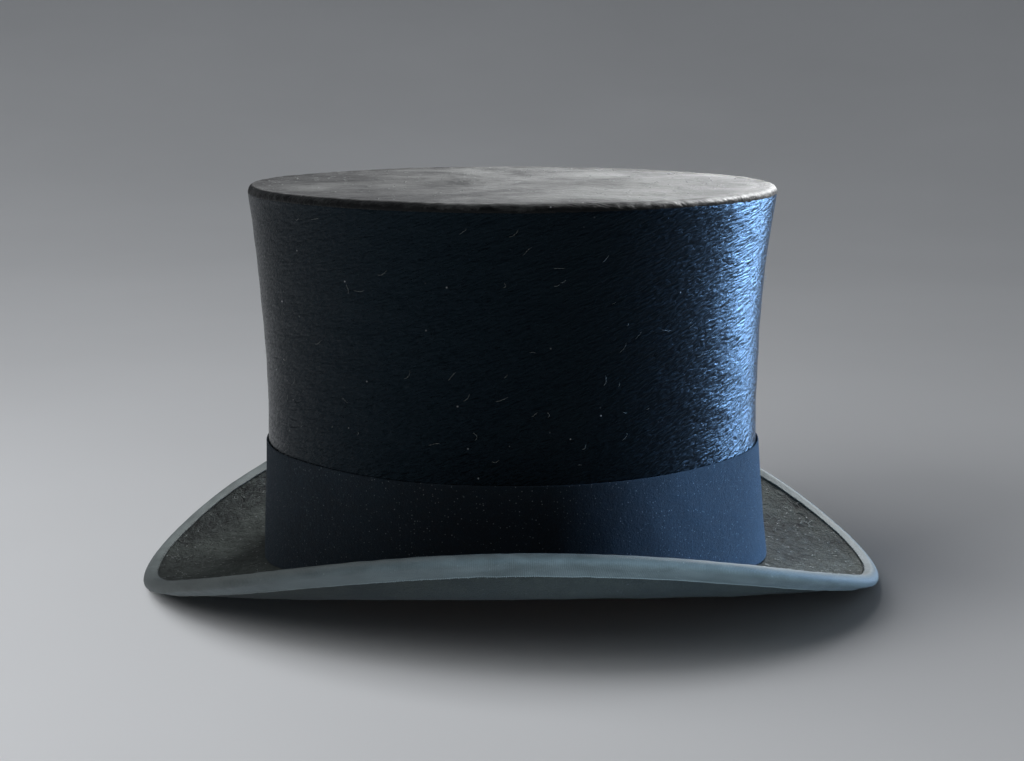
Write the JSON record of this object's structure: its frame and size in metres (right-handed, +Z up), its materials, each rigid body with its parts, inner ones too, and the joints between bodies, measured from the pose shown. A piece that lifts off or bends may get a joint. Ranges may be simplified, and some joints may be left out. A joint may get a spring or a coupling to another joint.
{
  "type": "top hat",
  "caption": "Tall flat-topped plush hat with an oval crown, a wide cloth band and a ribbon-bound brim that curls up at the sides and dips at the front and back.",
  "frame": {"origin": "centre of the hat's outline on the flat surface that the brim rests on", "axes": "+Z up through the crown, +X towards the front of the hat, +Y towards the wearer's left"},
  "size_m": [0.3144, 0.2664, 0.1673],
  "materials": {
    "linen_shell": "shellacked linen, stiff and slightly glossy",
    "plush": "black brushed plush with a silky nap",
    "under_cloth": "dark matt woollen cloth",
    "binding_ribbon": "faded grey-green ribbed ribbon",
    "band_cloth": "blue-black matt woollen cloth",
    "sweatband_leather": "tan leather, satin",
    "reed_cane": "split cane",
    "oilcloth": "dark oilcloth",
    "thread": "waxed linen thread",
    "bow_ribbon": "black satin ribbon",
    "satin": "ivory satin with a soft sheen"
  },
  "bodies": {
    "root": {"crown_side_shell": "linen_shell", "crown_tip_shell": "linen_shell", "brim_shell": "linen_shell", "brim_join_strip": "linen_shell", "side_plush": "plush", "tip_plush": "plush", "brim_top_plush": "plush", "brim_under_cloth": "under_cloth", "brim_binding": "binding_ribbon", "binding_stitches": "binding_ribbon", "cloth_band": "band_cloth", "band_stitches": "band_cloth", "sweatband": "sweatband_leather", "sweatband_reed": "reed_cane", "reed_welt": "oilcloth", "sweatband_stitches": "thread", "sweatband_join_stitches": "thread", "sweatband_bow": "bow_ribbon", "sweatband_bow_knot": "bow_ribbon", "side_lining": "satin", "tip_lining": "satin", "lining_seam_stitches": "satin"}
  },
  "joints": []
}
